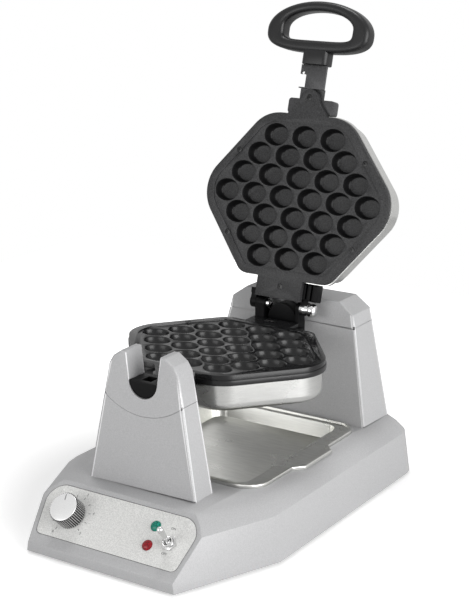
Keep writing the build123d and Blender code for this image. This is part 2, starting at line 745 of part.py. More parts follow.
post_left = (-29.0, -19.3)
post_right = (hub_radius + 0.6, 19.3)
knuckle_left = (post_left[0] - moving_gap - 5.7, post_left[0] - moving_gap)
knuckle_right = (post_right[1] + moving_gap, 28.0)
hub_arm_bottom = arm_top - arm_height
shaft_front = hub_front + 2.0
hub = block(post_left[0], 24.0, plate_rear + frame_proud + seam, hub_front, hub_arm_bottom, arm_top)
hub += rod(hub_radius, hub_front, hub_rear, "Y") + half_rod(hub_radius, hub_front - 4.0, hub_front, arm_top)
for x0, x1 in (post_left, post_right):
    post = block(x0, x1, hinge_y - knuckle_radius, hinge_y + knuckle_radius, hub_arm_bottom, hinge_z)
    post += rod(knuckle_radius, x0, x1, "X", (hinge_y, hinge_z))
    post += block(x0, x1, hinge_y - 12.0, hinge_y, hub_arm_bottom, arm_top)
    hub += post
    hub -= rod(pin_radius + shaft_fit, x0 - 1, x1 + 1, "X", (hinge_y, hinge_z))
hub += block(hub_radius - 4.0, post_right[1], hinge_y - knuckle_radius, hinge_y + knuckle_radius,
             hub_arm_bottom, -4.0)
hub -= rod(plate_screw_radius + screw_fit, -20, 0, at=tab_screw_place)
hub -= rod(shaft_radius - 2.0 + screw_fit, shaft_front, hub_rear + 1, "Y")
add("rear_hub", in_grid(hub))

turn_shaft = rod(shaft_radius, hub_rear + seam / 3, bearing_rear + seam, "Y")
turn_shaft += rod(shaft_radius - 2.0, shaft_front + seam / 3, hub_rear + 1, "Y")
turn_shaft += rod(shaft_radius - 1.0 - shaft_fit, bearing_rear, collar_stop + 1.5, "Y")
add("turn_shaft", in_grid(turn_shaft))

hinge_bar_right = 36.0
hinge_bar_top = 16.0
hinge_bar_end = hinge_y - 8.0
hinge_bar = block(-tab_left, hinge_bar_right, plate_rear + frame_proud + seam, hinge_bar_end,
                  plate_thickness + seam / 3, hinge_bar_top)
hinge_bar = fillet(hinge_bar.edges().filter_by(Axis.X), 1.5)
hinge_bar += block(knuckle_left[0], -tab_left + 1, hinge_bar_end - 5.0, hinge_bar_end,
                   plate_thickness + seam / 3, hinge_bar_top - 1.5)
for x in (25.0, 30.5):
    hinge_bar -= block(x - 1.0, x + 1.0, plate_rear, hinge_y, plate_thickness - 1, plate_thickness + 3.0)
for x0, x1 in (knuckle_left, knuckle_right):
    hinge_bar += rod(knuckle_radius, x0, x1, "X", (hinge_y, hinge_z))
    hinge_bar += block(x0, x1, hinge_y - 10.0, hinge_y, hinge_z - knuckle_radius + 1.0,
                       hinge_z + knuckle_radius - 1.3)
    hinge_bar -= rod(pin_radius + shaft_fit, x0 - 1, x1 + 1, "X", (hinge_y, hinge_z))
hinge_bar -= rod(plate_screw_radius + screw_fit, 0, 20, at=tab_screw_place)
add("lid_hinge", open_lid(hinge_bar))

left_pin = rod(pin_radius, knuckle_left[0] - 1.0, post_left[1] + 0.5, "X", (hinge_y, hinge_z))
left_pin += rod(4.4, post_left[1] + 0.1, post_left[1] + 4.6, "X", (hinge_y, hinge_z))
right_pin = rod(pin_radius, post_right[0] - 0.4, knuckle_right[1] + 0.5, "X", (hinge_y, hinge_z))
dome = rod(6.4, knuckle_right[1] + moving_gap, knuckle_right[1] + 7.8, "X", (hinge_y, hinge_z))
right_pin += fillet(dome.edges().group_by(Axis.X)[-1], 4.5)
add("hinge_pins", in_grid(left_pin + right_pin))


# Drip tray

def tray_outline(inset):
    """The plan of the tray's rim, without the finger scoop."""
    wide, long = 2 * (tray_half_width - inset), tray_front + tray_rear - 2 * inset
    return Pos(0, (tray_rear - tray_front) / 2) * RectangleRounded(wide, long, tray_corner_radius - inset)


def scoop_outline(inset):
    """The finger scoop that stands out of the right rim."""
    reach = tray_half_width + scoop_reach - inset
    root = tray_half_width - bead_width - inset
    return make_face(Polyline(
        (root, scoop_front + inset), (tray_half_width - inset, scoop_front + inset),
        (reach, scoop_front + scoop_ramp + inset), (reach, scoop_rear - scoop_ramp - inset),
        (tray_half_width - inset, scoop_rear - inset), (root, scoop_rear - inset), close=True))


def pan_outline(grow):
    """The plan of the tray's pan, grown by its sheet."""
    wide, long = 2 * (pan_half_width + grow), pan_front + pan_rear + 2 * grow
    return Pos(0, (pan_rear - pan_front) / 2) * RectangleRounded(wide, long, pan_corner_radius + grow)


rim_base = -axis_above_top + moving_gap
pan_floor = -axis_above_top - pan_depth
rim_plan = tray_outline(0) + scoop_outline(0)
rim = Pos(0, 0, rim_base) * extrude(rim_plan, bead_height)
rim = fillet(rim.edges().group_by(Axis.Z)[-1], bead_width / 2 - 0.2)
rim_hollow = tray_outline(bead_width) + scoop_outline(bead_width)
rim -= Pos(0, 0, rim_base + tray_sheet) * extrude(rim_hollow, bead_height)
pan_height = pan_depth + tray_sheet + moving_gap
tray = rim + Pos(0, 0, pan_floor - tray_sheet) * extrude(pan_outline(tray_sheet), pan_height)
tray -= Pos(0, 0, pan_floor) * extrude(pan_outline(0), pan_depth + 3 * bead_height)
add("drip_tray", in_grid(tray))


# Control panel

plate_bottom = -control_plate_sheet
panel_gap = seam / 3
control_plate = panel.location * Pos(0, 0, plate_bottom) * extrude(
    control_outline(control_plate_inset + panel_gap, control_plate_low + panel_gap), control_plate_sheet)
for place, radius in panel_holes:
    control_plate -= panel_point(place) * Cylinder(radius, 4 * shell_wall)
panel_screw_rise = (13.5, 52.0)
panel_screw_inset = (8.2, 18.5)
panel_screw_places = [(side * (panel_half(up) - inset), up) for side in (-1, 1)
                      for up, inset in zip(panel_screw_rise, panel_screw_inset)]
for place in panel_screw_places:
    control_plate -= panel_point(place) * Cylinder(0.9 + screw_fit, 4 * shell_wall)
add("control_plate", control_plate)

panel_screws = Part()
for place in panel_screw_places:
    screw = Cylinder(0.9, 1.0, align=(Align.CENTER, Align.CENTER, Align.MAX))
    screw += Cylinder(1.7, 0.6, align=(Align.CENTER, Align.CENTER, Align.MIN))
    panel_screws += panel_point(place) * screw
add("panel_screws", panel_screws)


def lamp(place):
    """A lamp's domed lens with the barrel that passes through the panel."""
    barrel_radius = lamp_radius - 0.6 - screw_fit
    lens = Cylinder(lamp_radius, lamp_dome, align=(Align.CENTER, Align.CENTER, Align.MIN))
    lens = fillet(lens.edges().group_by(Axis.Z)[-1], lamp_dome - 0.4)
    barrel = Cylinder(barrel_radius, shell_wall + 9.0, align=(Align.CENTER, Align.CENTER, Align.MAX))
    return panel_point(place) * (lens + barrel)


add("ready_lamp", lamp(green_lamp_place))
add("power_lamp", lamp(red_lamp_place))

behind_panel = -shell_wall - seam
holder = Box(13.0, 33.0, 7.0, align=(Align.CENTER, Align.CENTER, Align.MAX))
middle = ((green_lamp_place[0] + red_lamp_place[0]) / 2, (green_lamp_place[1] + red_lamp_place[1]) / 2)
lamp_holder = panel_point(middle, behind_panel) * holder
for place in (green_lamp_place, red_lamp_place):
    lamp_holder -= panel_point(place) * Cylinder(lamp_radius - 0.6, 60)
add("lamp_holder", lamp_holder)

bush = Cylinder(switch_bush_radius - 1.3, shell_wall + switch_bush_height,
                align=(Align.CENTER, Align.CENTER, Align.MIN))
switch_body = Pos(0, 0, behind_panel) * bush
switch_case = Box(14.0, 26.0, 17.0, align=(Align.CENTER, Align.CENTER, Align.MAX))
switch_body += Pos(0, 0, behind_panel) * switch_case
lever_pivot = switch_bush_height - 3.5
lever_ball = 2.6
switch_body -= Pos(0, 0, lever_pivot) * Sphere(lever_ball + moving_gap)
switch_body -= Pos(0, 0, lever_pivot) * Cone(lever_ball, lever_ball + 2.2, 5.0,
                                             align=(Align.CENTER, Align.CENTER, Align.MIN))
add("switch_body", panel_point(switch_place) * switch_body)

nut_face = RegularPolygon(switch_bush_radius, 6, major_radius=False)
switch_nut = extrude(nut_face, 2.6) - Cylinder(switch_bush_radius - 1.3 + screw_fit, 20)
add("switch_nut", panel_point(switch_place, panel_gap) * switch_nut)

bat = Cone(1.4, 2.9, lever_length, align=(Align.CENTER, Align.CENTER, Align.MIN))
bat = fillet(bat.edges().group_by(Axis.Z)[-1], 2.5)
lever = Sphere(lever_ball) + bat
lever_at = panel_point(switch_place, lever_pivot) * Rot(-lever_tilt, 0, 0)
add("switch_lever", lever_at * lever)

knob_clear = 0.6
knob_wall = 2.4
skirt = Cylinder(knob_radius, knob_height, align=(Align.CENTER, Align.CENTER, Align.MIN))
rib_count = 44
for rib in range(rib_count):
    turn = 360 / rib_count * rib
    groove = Rot(0, 0, turn) * Pos(knob_radius + 0.15, 0, 0) * Cylinder(0.7, knob_height * 2)
    skirt -= groove
dial_socket = knob_radius - 1.3
skirt -= rod(dial_socket, knob_height - 1.2, knob_height + 3)
skirt -= Cylinder(knob_radius - knob_wall, 2 * (knob_height - 5.0))
skirt += Cylinder(6.0, knob_height - 3.0, align=(Align.CENTER, Align.CENTER, Align.MIN))
spindle_radius = 3.0
skirt -= Cylinder(spindle_radius + shaft_fit, 2 * (knob_height - 4.5))
knob_at = panel_point(knob_place, knob_clear)
add("dial_knob", knob_at * skirt)

dial_face = Pos(0, 0, knob_height - 1.2 + panel_gap) * Cylinder(dial_socket - panel_gap, 1.4,
                                                       align=(Align.CENTER, Align.CENTER, Align.MIN))
dial_face = fillet(dial_face.edges().group_by(Axis.Z)[-1], 0.4)
add("dial_face", knob_at * dial_face)

spindle_back = behind_panel - 9.0
spindle_tip = knob_clear + knob_height - 5.0
spindle = rod(spindle_radius, spindle_back, spindle_tip)
add("dial_spindle", panel_point(knob_place) * spindle)

thermostat_bush = rod(5.0, behind_panel - 2.0, -0.2)
thermostat = thermostat_bush + Pos(0, 0, behind_panel) * Cylinder(
    16.0, 15.0, align=(Align.CENTER, Align.CENTER, Align.MAX))
thermostat -= rod(spindle_radius + shaft_fit, spindle_back - 0.5, 2)
add("thermostat", panel_point(knob_place) * thermostat)


# Inlet for the cord, and the terminals that it ends in

gland_inner = gland_seat - shell_wall - gland_inner_length
gland_outer = gland_seat + screw_fit + gland_flange
gland = rod(gland_radius - screw_fit, gland_inner, gland_outer, "Y", gland_place)
gland += rod(gland_flange_radius, gland_seat + screw_fit, gland_outer, "Y", gland_place)
gland -= rod(cord_bore, gland_inner - 1, gland_outer + 1, "Y", gland_place)
add("cord_gland", gland)

terminal_left = gland_place[0] - 70.0
terminal_size = (30.0, 14.0, 14.0)
terminal_front = base_rear_y - 50.0
terminal_pitch = 9.0
terminals = block(terminal_left, terminal_left + terminal_size[0],
                  terminal_front, terminal_front + terminal_size[1],
                  cover_top, cover_top + terminal_size[2])
for place in range(3):
    well_at = (terminal_left + 6.0 + place * terminal_pitch, terminal_front + terminal_size[1] / 2)
    terminals -= rod(2.6, cover_top + 6.0, cover_top + 20, at=well_at)
add("terminal_block", terminals)

tower_screws = Part()
for x, y in front_screws + rear_screws:
    shank = rod(tower_screw_radius, shell_top - shell_wall - 0.2, shell_top + tower_wall + 2.0, at=(x, y))
    tower_screws += shank + rod(4.2, shell_top - shell_wall - 3.0, shell_top - shell_wall - 0.1, at=(x, y))
add("tower_screws", tower_screws)

os.makedirs("parts", exist_ok=True)
for name, shape in nodes.items():
    export_step(shape, "parts/" + name + ".step")
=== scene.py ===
import bpy
import json
from math import cos, pi, radians, sin
from mathutils import Matrix, Vector


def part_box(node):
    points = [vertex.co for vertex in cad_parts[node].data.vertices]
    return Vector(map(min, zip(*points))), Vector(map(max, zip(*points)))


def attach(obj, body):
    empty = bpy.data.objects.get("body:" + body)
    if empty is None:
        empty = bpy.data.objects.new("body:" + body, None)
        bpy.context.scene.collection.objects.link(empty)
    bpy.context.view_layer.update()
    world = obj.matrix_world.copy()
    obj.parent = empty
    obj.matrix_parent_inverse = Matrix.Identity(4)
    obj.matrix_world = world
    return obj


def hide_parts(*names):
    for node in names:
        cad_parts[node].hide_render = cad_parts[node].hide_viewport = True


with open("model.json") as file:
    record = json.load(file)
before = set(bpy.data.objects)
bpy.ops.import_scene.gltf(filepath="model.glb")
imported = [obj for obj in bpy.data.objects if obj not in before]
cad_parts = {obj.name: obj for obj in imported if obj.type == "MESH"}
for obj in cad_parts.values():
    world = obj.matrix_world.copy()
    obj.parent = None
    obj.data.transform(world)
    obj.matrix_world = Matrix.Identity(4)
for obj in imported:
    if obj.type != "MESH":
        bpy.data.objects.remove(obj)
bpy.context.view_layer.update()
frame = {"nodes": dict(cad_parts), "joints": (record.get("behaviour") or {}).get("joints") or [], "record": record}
bpy.ops.object.select_all(action="DESELECT")
nodes = frame["nodes"]
joints = {joint["name"]: joint for joint in frame["joints"]}
slotOf = {entry["node"]: entry["material_slot"] for entry in frame["record"]["subparts"]}
bodyOf = {node: body for body, names in frame["record"]["behaviour"]["bodies"].items() for node in names}
mm = 0.001
mergeDistance = 0.002 * mm      # points nearer than this are one point
print("frame loaded:", len(nodes), "nodes")


# Small helpers for materials

def toLinear(hexColour):
    values = []  # sRGB hex to linear, with an alpha of 1
    for i in (1, 3, 5):
        c = int(hexColour[i:i + 2], 16) / 255
        values.append(c / 12.92 if c <= 0.04045 else ((c + 0.055) / 1.055) ** 2.4)
    return (*values, 1.0)


def addNode(material, kind, links=None, **settings):
    # settings are attributes of the node or values of its inputs; links are input: (node, output)
    node = material.node_tree.nodes.new(kind)
    for key, value in settings.items():
        name = key.replace("_", " ")
        if name in node.inputs:
            node.inputs[name].default_value = value
        else:
            setattr(node, key, value)
    for key, (source, output) in (links or {}).items():
        material.node_tree.links.new(source.outputs[output], node.inputs[key])
    return node


def between(material, value, low, high, start=0.0, end=1.0):
    # a node that turns start to end into low to high
    span = addNode(material, "ShaderNodeMapRange", {"Value": value})
    span.inputs["From Min"].default_value, span.inputs["From Max"].default_value = start, end
    span.inputs["To Min"].default_value, span.inputs["To Max"].default_value = low, high
    return span


def newMaterial(name, colour, roughness, metallic=0.0, **extra):
    material = bpy.data.materials.new(name)
    material.use_nodes = True
    shader = material.node_tree.nodes["Principled BSDF"]
    shader.inputs["Base Color"].default_value = toLinear(colour)
    shader.inputs["Roughness"].default_value = roughness
    shader.inputs["Metallic"].default_value = metallic
    for key, value in extra.items():
        shader.inputs[key.replace("_", " ")].default_value = value
    return material, shader


def setMaterial(thing, material):
    thing.data.materials.clear()
    thing.data.materials.append(material)


# the stretches of the two noises that are used, the number of patches of wear to a metre, and the height
# that a depth of 1 stands for
pattern = {"grainSpan": (0.35, 0.65), "grainDetail": 3.0, "wearSpan": (0.3, 0.7), "wearDetail": 4.0,
           "wearScale": 22.0, "bumpHeight": 0.1 * mm}


def grained(name, colour, roughness, metallic=0.0, grain=0.6, stretch=(1, 1, 1), depth=0.05, spread=0.08,
            wear=0.05, **extra):
    # grain is its size in mm, stretch draws it out along an axis, depth is the bump in units of 0.1 mm,
    # spread changes the colour with the grain, and wear changes the roughness in larger patches
    material, shader = newMaterial(name, colour, roughness, metallic, **extra)
    link = material.node_tree.links.new
    place = addNode(material, "ShaderNodeTexCoord")
    stretched = addNode(material, "ShaderNodeMapping", {"Vector": (place, "Object")}, Scale=stretch)
    fine = addNode(material, "ShaderNodeTexNoise", {"Vector": (stretched, "Vector")}, Scale=1000 / grain,
                   Detail=pattern["grainDetail"])
    broad = addNode(material, "ShaderNodeTexNoise", {"Vector": (place, "Object")},
                    Scale=pattern["wearScale"], Detail=pattern["wearDetail"])
    base = toLinear(colour)
    ramp = addNode(material, "ShaderNodeValToRGB", {"Fac": (fine, "Fac")})
    dark, light = ramp.color_ramp.elements
    dark.position, light.position = pattern["grainSpan"]
    dark.color = tuple(c * (1 - spread) for c in base[:3]) + (1,)
    light.color = tuple(min(1, c * (1 + spread)) for c in base[:3]) + (1,)
    rough = between(material, (broad, "Fac"), roughness - wear, roughness + wear, *pattern["wearSpan"])
    bump = addNode(material, "ShaderNodeBump", {"Height": (fine, "Fac")}, Strength=min(1.0, depth),
                   Distance=pattern["bumpHeight"])
    link(ramp.outputs["Color"], shader.inputs["Base Color"])
    link(rough.outputs["Result"], shader.inputs["Roughness"])
    link(bump.outputs["Normal"], shader.inputs["Normal"])
    return material


# Sprayed silver lacquer: a fine aluminium flake under a satin skin, so the facets change tone softly
silverPaint = grained("satinSilverPaint", "#b4b4b5", 0.48, 0.10, grain=0.9, depth=0.10, spread=0.07,
                      Specular_IOR_Level=0.35)
# The same lacquer on the rounded edges, painted paler as a painted highlight along them
edgeHighlightPaint = grained("edgeSilverPaint", "#e4e4e5", 0.34, 0.2, grain=0.9, spread=0.04)
# Stainless sheet, brushed one way: pale, with short streaks that stretch the reflections
stainless = grained("brushedStainless", "#cdcdcb", 0.28, 1.0, grain=0.5, stretch=(0.05, 0.05, 1), spread=0.05)
# The same sheet drawn into a tray and brushed along it, painted a little paler as painted light
trayStainlessPaintedPaler = grained("drawnStainless", "#d6d6d2", 0.30, 1.0, grain=0.8, stretch=(0.05, 0.3, 1),
                        spread=0.05)
# Non-stick coat on cast aluminium: near-black with a fine speckle and a soft sheen
nonStick = grained("nonStickCoating", "#131314", 0.27, grain=0.7, depth=0.30, spread=0.45,
                   Specular_IOR_Level=0.4)
# The lid's copy of the coat: rougher, with more speckle, and painted paler than the lower plate's as painted light
paintedPalerLidCoat = grained("dryNonStickCoating", "#2d2d2e", 0.52, grain=0.8, depth=0.6, spread=0.85,
                      Specular_IOR_Level=0.42)
# Painted shade on the steep walls of the lid's hollows: the same coat, darker than their floors
paintedWallShade = grained("seasonedCoating", "#0e0e0f", 0.60, grain=0.8, depth=0.4, spread=0.4,
                       Specular_IOR_Level=0.2)
# Fired black enamel on the band under the plate
blackEnamel = grained("blackEnamel", "#101011", 0.30)
# Moulded phenolic grip: black, slightly polished where a hand holds it
phenolic = grained("blackPhenolic", "#131314", 0.38, grain=1.1, depth=0.15, spread=0.25, wear=0.08,
                   Specular_IOR_Level=0.4)
# Hinge, hub and journal castings under a matt black lacquer
darkCasting = grained("lacqueredCasting", "#09090a", 0.46, grain=0.8, depth=0.4, spread=0.25,
                      Specular_IOR_Level=0.12)
# The handle's arm, a casting left dark grey
armCasting = grained("bareGreyCasting", "#434344", 0.44, 0.3, grain=0.8, depth=0.5, spread=0.35)
# Zinc plating on the screws and the bottom cover
plated = grained("zincPlate", "#b5b6b4", 0.32, 1.0)
# Chromed steel of the hinge pins, the toggle and its nut
chrome = grained("polishedChrome", "#dcdcdc", 0.10, 1.0, grain=2.0, depth=0.02, spread=0.02, wear=0.03)
# Turned steel of the shaft, its collar and the dial's spindle
turned = grained("turnedSteel", "#b9b9b7", 0.25, 1.0)
# Oil-filled bearing bronze, dull from sintering
bronze = grained("sinteredBronze", "#a97a44", 0.40, 1.0)
# Aluminium block round the bearing, rough from its mould
castAluminium = grained("castAluminium", "#b4b4b2", 0.45, 1.0, depth=0.5)
# Anodised panel plate: a pale satin metal with a grit that shows as a fine speckle
panelMetal = grained("gritAnodisedPlate", "#dcdcda", 0.45, grain=1.0, depth=0.25, spread=0.13, wear=0.0,
                     Specular_IOR_Level=0.3)
# Painted shade in the gap where the plate meets the casting, on the plate's edge
plateGapShade = grained("blackenedPlateEdge", "#6a6a6b", 0.6)
# Spun face of the dial: bright, with fine rings
spunFace = grained("spunAluminium", "#ececec", 0.22, 0.6, grain=0.8, spread=0.05)
# Moulded rubber of the feet, nearly without shine
rubber = grained("mouldedRubber", "#1a1a1a", 0.70)
# Pressed ceramic wool behind the heaters, off-white and fibrous
wool = grained("ceramicWool", "#cfc9bd", 0.92, grain=1.2, depth=1.0, spread=0.15)
# Heater tubes, browned by their own heat
elementSteel = grained("heatTintedSteel", "#6d675f", 0.45, 1.0)
# Moulded black plastic of the knob, the switch case, the lamp holder and the gland
blackPlastic = grained("mouldedBlackPlastic", "#0e0e0f", 0.30, Specular_IOR_Level=0.4)
# Bright metal on the raised ribs of the dial, a painted highlight on the black knob that also reflects the lights
ribHighlightMetal = grained("wornBrightRib", "#d0d0d0", 0.25, 0.9)
# Moulded white plastic of the terminal block
whitePlastic = grained("mouldedWhitePlastic", "#d8d5cd", 0.45)
# Coloured lenses of the two lamps, unlit, with a fine facet pattern
greenLens = grained("greenLens", "#0a7765", 0.16, grain=1.4, depth=0.3, spread=0.5, Specular_IOR_Level=0.35)
redLens = grained("redLens", "#8a0f1c", 0.16, grain=1.4, depth=0.3, spread=0.5, Specular_IOR_Level=0.35)
# Screen-printed marks: flat dark grey ink
markInk = grained("screenInk", "#3a3a3c", 0.60)

finishOf = {
    "silver_paint": silverPaint, "plated_sheet": plated, "black_rubber": rubber, "zinc_screws": plated,
    "nonstick_plate": nonStick, "black_enamel": blackEnamel, "stainless": stainless, "ceramic_wool": wool,
    "element_steel": elementSteel, "dark_casting": darkCasting, "black_phenolic": phenolic,
    "polished_steel": chrome, "shaft_steel": turned, "bronze": bronze, "bearing_aluminium": castAluminium,
    "panel_aluminium": panelMetal, "green_lens": greenLens, "red_lens": redLens,
    "black_plastic": blackPlastic, "white_plastic": whitePlastic,
}
for node, slotName in slotOf.items():
    setMaterial(nodes[node], finishOf[slotName])
setMaterial(nodes["panel_screws"], panelMetal)      # flush heads, anodised with the plate
print("materials on", len(nodes), "nodes")


# Small helpers for shapes

def pick(*things):
    bpy.ops.object.select_all(action="DESELECT")
    for thing in things:
        thing.select_set(True)
    bpy.context.view_layer.objects.active = things[0]


def editAll(thing):
    pick(thing)
    bpy.ops.object.mode_set(mode="EDIT")
    bpy.ops.mesh.select_all(action="SELECT")


def leaveEdit():
    bpy.ops.object.mode_set(mode="OBJECT")


def chooseEdges(thing, wanted):
    # goes into edit mode with only those edges selected that wanted accepts, from the places of their ends
    editAll(thing)
    bpy.ops.mesh.select_mode(type="EDGE")
    bpy.ops.mesh.select_all(action="DESELECT")
    leaveEdit()
    for edge in thing.data.edges:
        edge.select = wanted(*(thing.data.vertices[i].co for i in edge.vertices))
    bpy.ops.object.mode_set(mode="EDIT")


def paintFaces(piece, material, wanted):
    # gives the piece a second material, on the faces that wanted(face) accepts
    piece.data.materials.append(material)
    for polygon in piece.data.polygons:
        polygon.material_index = 1 if wanted(polygon) else 0


def faceOutward(thing):
    editAll(thing)
    bpy.ops.mesh.remove_doubles(threshold=mergeDistance)
    bpy.ops.mesh.normals_make_consistent(inside=False)
    leaveEdit()


def useModifier(piece, kind, **settings):
    pick(piece)
    modifier = piece.modifiers.new(kind.lower(), kind)
    for key, value in settings.items():
        setattr(modifier, key, value)
    bpy.ops.object.modifier_apply(modifier=modifier.name)


def roundEdges(piece, width, segments=2, angle=30, slot=-1):
    # slot is the number of the material for the new faces, or -1 for that of the faces beside them
    useModifier(piece, "BEVEL", width=width, segments=segments, limit_method="ANGLE",
                angle_limit=radians(angle), material=slot)


def tidyMesh(piece):
    # takes out the faces that a bevel has shrunk to nothing
    editAll(piece)
    bpy.ops.mesh.remove_doubles(threshold=0.01 * mm)
    leaveEdit()


def copyMesh(source, name):
    piece = bpy.data.objects.new(name, source.data.copy())
    bpy.context.collection.objects.link(piece)
    return piece


def copyNode(node, name):
    # a CAD piece as a new mesh, with its loose triangles merged into whole faces
    piece = copyMesh(nodes[node], name)
    editAll(piece)
    bpy.ops.mesh.remove_doubles(threshold=mergeDistance)
    bpy.ops.mesh.dissolve_limited(angle_limit=radians(0.4))
    leaveEdit()
    bpy.ops.mesh.customdata_custom_splitnormals_clear()
    return piece


def cutWith(piece, cutter, operation="DIFFERENCE"):
    useModifier(piece, "BOOLEAN", object=cutter, operation=operation, solver="EXACT")
    bpy.data.objects.remove(cutter)


def joined(things, name):
    pick(*things)
    bpy.ops.object.join()
    bpy.context.object.name = name
    return bpy.context.object


def placed(thing, matrix=Matrix.Identity(4)):
    # the place goes into the mesh, and the object stays at the origin
    pick(thing)
    thing.matrix_world = matrix @ thing.matrix_world
    bpy.ops.object.transform_apply(location=True, rotation=True, scale=True)
    return thing


def addCylinder(corners, radius, depth, centre, turn=(0, 0, 0)):
    bpy.ops.mesh.primitive_cylinder_add(vertices=corners, radius=radius, depth=depth, location=centre,
                                        rotation=turn)
    return placed(bpy.context.object)


def addBlock(size, centre):
    bpy.ops.mesh.primitive_cube_add(size=1, location=centre, scale=size)
    return placed(bpy.context.object)


def hand(piece, node, material=None, smooth=32, replace=True):
    # the finished piece takes the CAD node's body and slot, and stands for it
    pick(piece)
    bpy.ops.object.shade_smooth_by_angle(angle=radians(smooth))
    if not piece.data.materials or material:
        setMaterial(piece, material or finishOf[slotOf[node]])
    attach(piece, bodyOf[node])
    if replace:
        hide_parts(node)
    return piece


# Frames that the pieces are placed in

gridFrame = {"centreY": 4.5 * mm}        # the middle of the egg pattern; its height is the turning axis
axisHeight = joints["grid_turn"]["pos_m"][2]
toGrid = Matrix.Translation((0, gridFrame["centreY"], axisHeight))
hingePlace = Vector(joints["lid_hinge"]["pos_m"])
openAngle = radians(joints["lid_hinge"]["range_deg"][1])
toHinge = Matrix.Translation(hingePlace)
# the lid's half of the grid is swung open about the hinge, and its egg plate is turned over as well
toLid = toHinge @ Matrix.Rotation(-openAngle, 4, "X") @ toHinge.inverted() @ toGrid
toUpperHalf = toLid @ Matrix.Diagonal((1, 1, -1, 1))

dialPlace = Vector(joints["dial_turn"]["pos_m"])
panelNormal = Vector(joints["dial_turn"]["axis"])
upSlope = panelNormal.cross(Vector((1, 0, 0)))


def onPanel(across, up, height=0.0):
    # a frame on the control panel, its place given from the middle of the dial
    spot = dialPlace + Vector((across, 0, 0)) + upSlope * up + panelNormal * height
    turn = Matrix((Vector((1, 0, 0)), upSlope, panelNormal)).transposed().to_4x4()
    return Matrix.Translation(spot) @ turn


# Pieces that keep their CAD shape and get their edges rounded over, in millimetres

softEdges = {
    "base_shell": 1.6, "front_tower": 0.35, "front_tower_cap": 0.35, "rear_tower": 0.35,
    "rear_tower_cap": 0.35, "lower_frame": 0.7, "upper_frame": 0.7, "lower_journal": 0.9, "handle_arm": 0.6,
    "rear_hub": 0.9, "lid_hinge": 0.6, "switch_nut": 0.35, "control_plate": 0.45, "drip_tray": 0.4,
    "cord_gland": 0.5, "bottom_cover": 0.3,
}
facets = {"smallUpTo": 0.6, "small": 2, "large": 3, "angle": 35}     # how finely a rounded edge is divided
# the lid's plate takes the coat painted paler, as painted light
newFinish = {"handle_arm": armCasting, "drip_tray": trayStainlessPaintedPaler, "lower_journal": darkCasting,
             "upper_plate": paintedPalerLidCoat}
# the towers' upright edges are rounder than the seams and carry the painted edge highlight, and count as upright
# from this length and share
tallEdges = {"towers": ("front_tower", "front_tower_cap", "rear_tower", "rear_tower_cap"),
             "rounding": 1.3 * mm, "facets": 3, "minLength": 5 * mm, "minUpright": 0.93}
# the painted shade line round the control plate, and the cosine to the panel's normal from which a face is the
# plate's flat face, or is seen beside it
plateLine = {"width": 0.6 * mm, "flat": 0.999, "seen": 0.1}
knuckle = {"start": 19.4 * mm, "radius": 6.5 * mm}        # the right knuckle is a bright sleeve on its pin


def roundTallEdges(piece):
    def isTall(a, b):
        length = (a - b).length
        return length > tallEdges["minLength"] and abs(a.z - b.z) > tallEdges["minUpright"] * length

    chooseEdges(piece, isTall)
    # the new faces take the second material, the painted edge highlight
    bpy.ops.mesh.bevel(offset=tallEdges["rounding"], segments=tallEdges["facets"], affect="EDGES", material=1)
    leaveEdit()


def linePlate(piece):
    # the plate's face is inset, and what lies outside it becomes the painted shade line
    editAll(piece)
    bpy.ops.mesh.select_mode(type="FACE")
    bpy.ops.mesh.select_all(action="DESELECT")
    leaveEdit()
    for polygon in piece.data.polygons:
        polygon.select = polygon.normal.dot(panelNormal) > plateLine["flat"]
    bpy.ops.object.mode_set(mode="EDIT")
    bpy.ops.mesh.inset(thickness=plateLine["width"])
    leaveEdit()

    def onLine(face):
        return face.normal.dot(panelNormal) > plateLine["seen"] and not face.select

    # the seen faces outside the inset get the painted gap shade
    paintFaces(piece, plateGapShade, onLine)


def onKnuckle(face):
    out = face.center - hingePlace
    return out.x > knuckle["start"] and Vector((0, out.y, out.z)).length < knuckle["radius"]


for node, rounding in softEdges.items():
    name = "".join(word.title() if i else word for i, word in enumerate(node.split("_"))) + "Piece"
    piece = copyNode(node, name)
    if slotOf[node] == "silver_paint":
        # the second material is a painted highlight for the rounded edges
        piece.data.materials.append(edgeHighlightPaint)
    if node in tallEdges["towers"]:
        roundTallEdges(piece)
    if node == "control_plate":
        linePlate(piece)
    size = "large" if rounding > facets["smallUpTo"] else "small"
    # the base shell's rounded edges take the painted edge highlight
    roundEdges(piece, rounding * mm, segments=facets[size], angle=facets["angle"],
               slot=1 if node == "base_shell" else -1)
    if node in tallEdges["towers"]:
        tidyMesh(piece)
    hand(piece, node, newFinish.get(node))
    if node == "lid_hinge":
        paintFaces(piece, chrome, onKnuckle)
    print("softened", name, len(piece.data.polygons))


# The two egg plates

